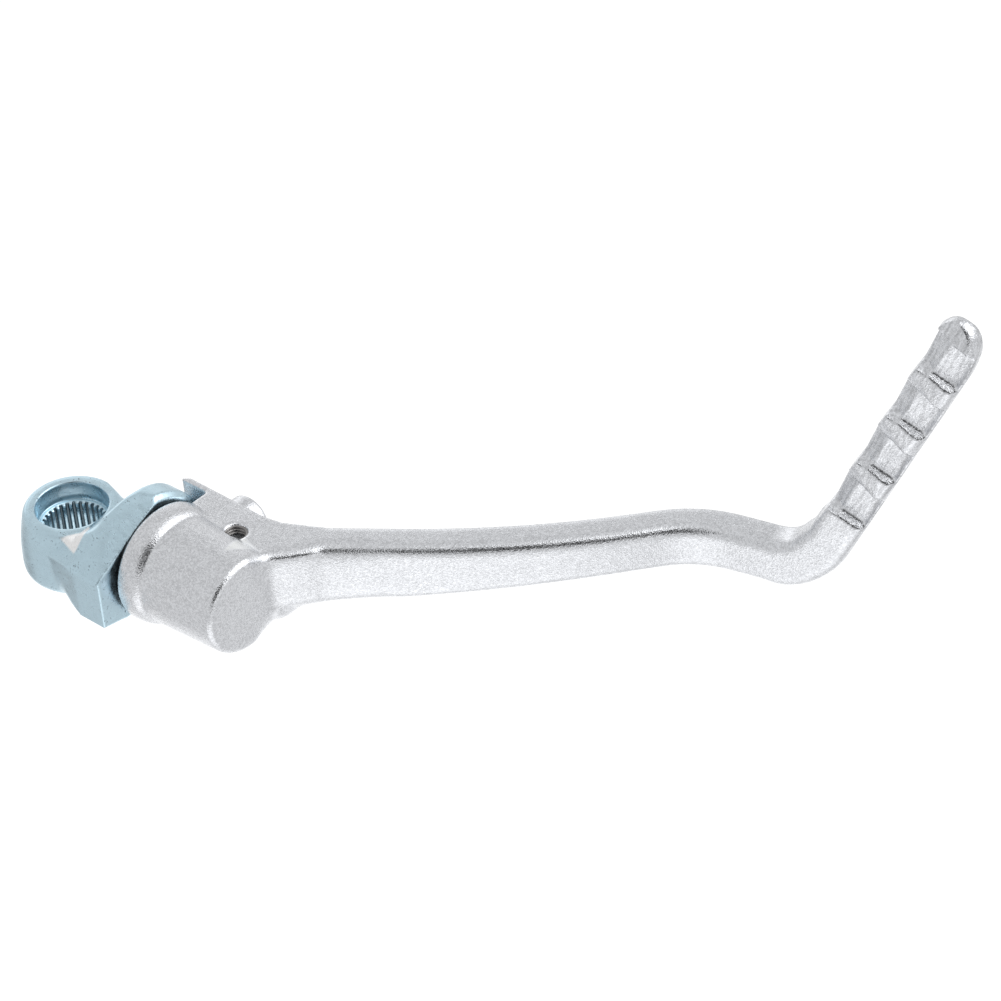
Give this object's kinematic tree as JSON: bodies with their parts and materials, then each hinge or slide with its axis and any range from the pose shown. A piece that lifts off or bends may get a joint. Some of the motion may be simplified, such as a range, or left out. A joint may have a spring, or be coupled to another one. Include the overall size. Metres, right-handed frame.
{
  "type": "kick start lever",
  "caption": "Folding kick start lever for a motorcycle: splined steel knuckle with pivot flange, cranked aluminium arm and notched foot pedal.",
  "frame": {"origin": "on the spline axis, in the plane of the hub's back face", "axes": "+Z along the spline and away from the engine, out of the counterbore; +X from the hub outward along the pivot pin; +Y to the side the pedal leaves from"},
  "size_m": [0.2335, 0.1361, 0.1117],
  "materials": {
    "plated_steel": "blue zinc plated forging",
    "aluminium": "bead blasted and anodised forging",
    "rubber": "matt",
    "bright_steel": "bright zinc plated",
    "ball_steel": "polished bearing steel",
    "spring_steel": "bare spring wire"
  },
  "bodies": {
    "knuckle": {"knuckle": "plated_steel"},
    "lever": {"lever": "aluminium", "seal_ring": "rubber", "retaining_bolt": "bright_steel", "detent_ball": "ball_steel", "detent_spring": "spring_steel", "detent_plug": "bright_steel"}
  },
  "joints": [
    {"name": "lever_fold", "type": "hinge", "parent": "knuckle", "child": "lever", "pos_m": [0, 0.0047, 0.0125], "axis": [1, 0, 0], "range_deg": [-90, 0]}
  ]
}
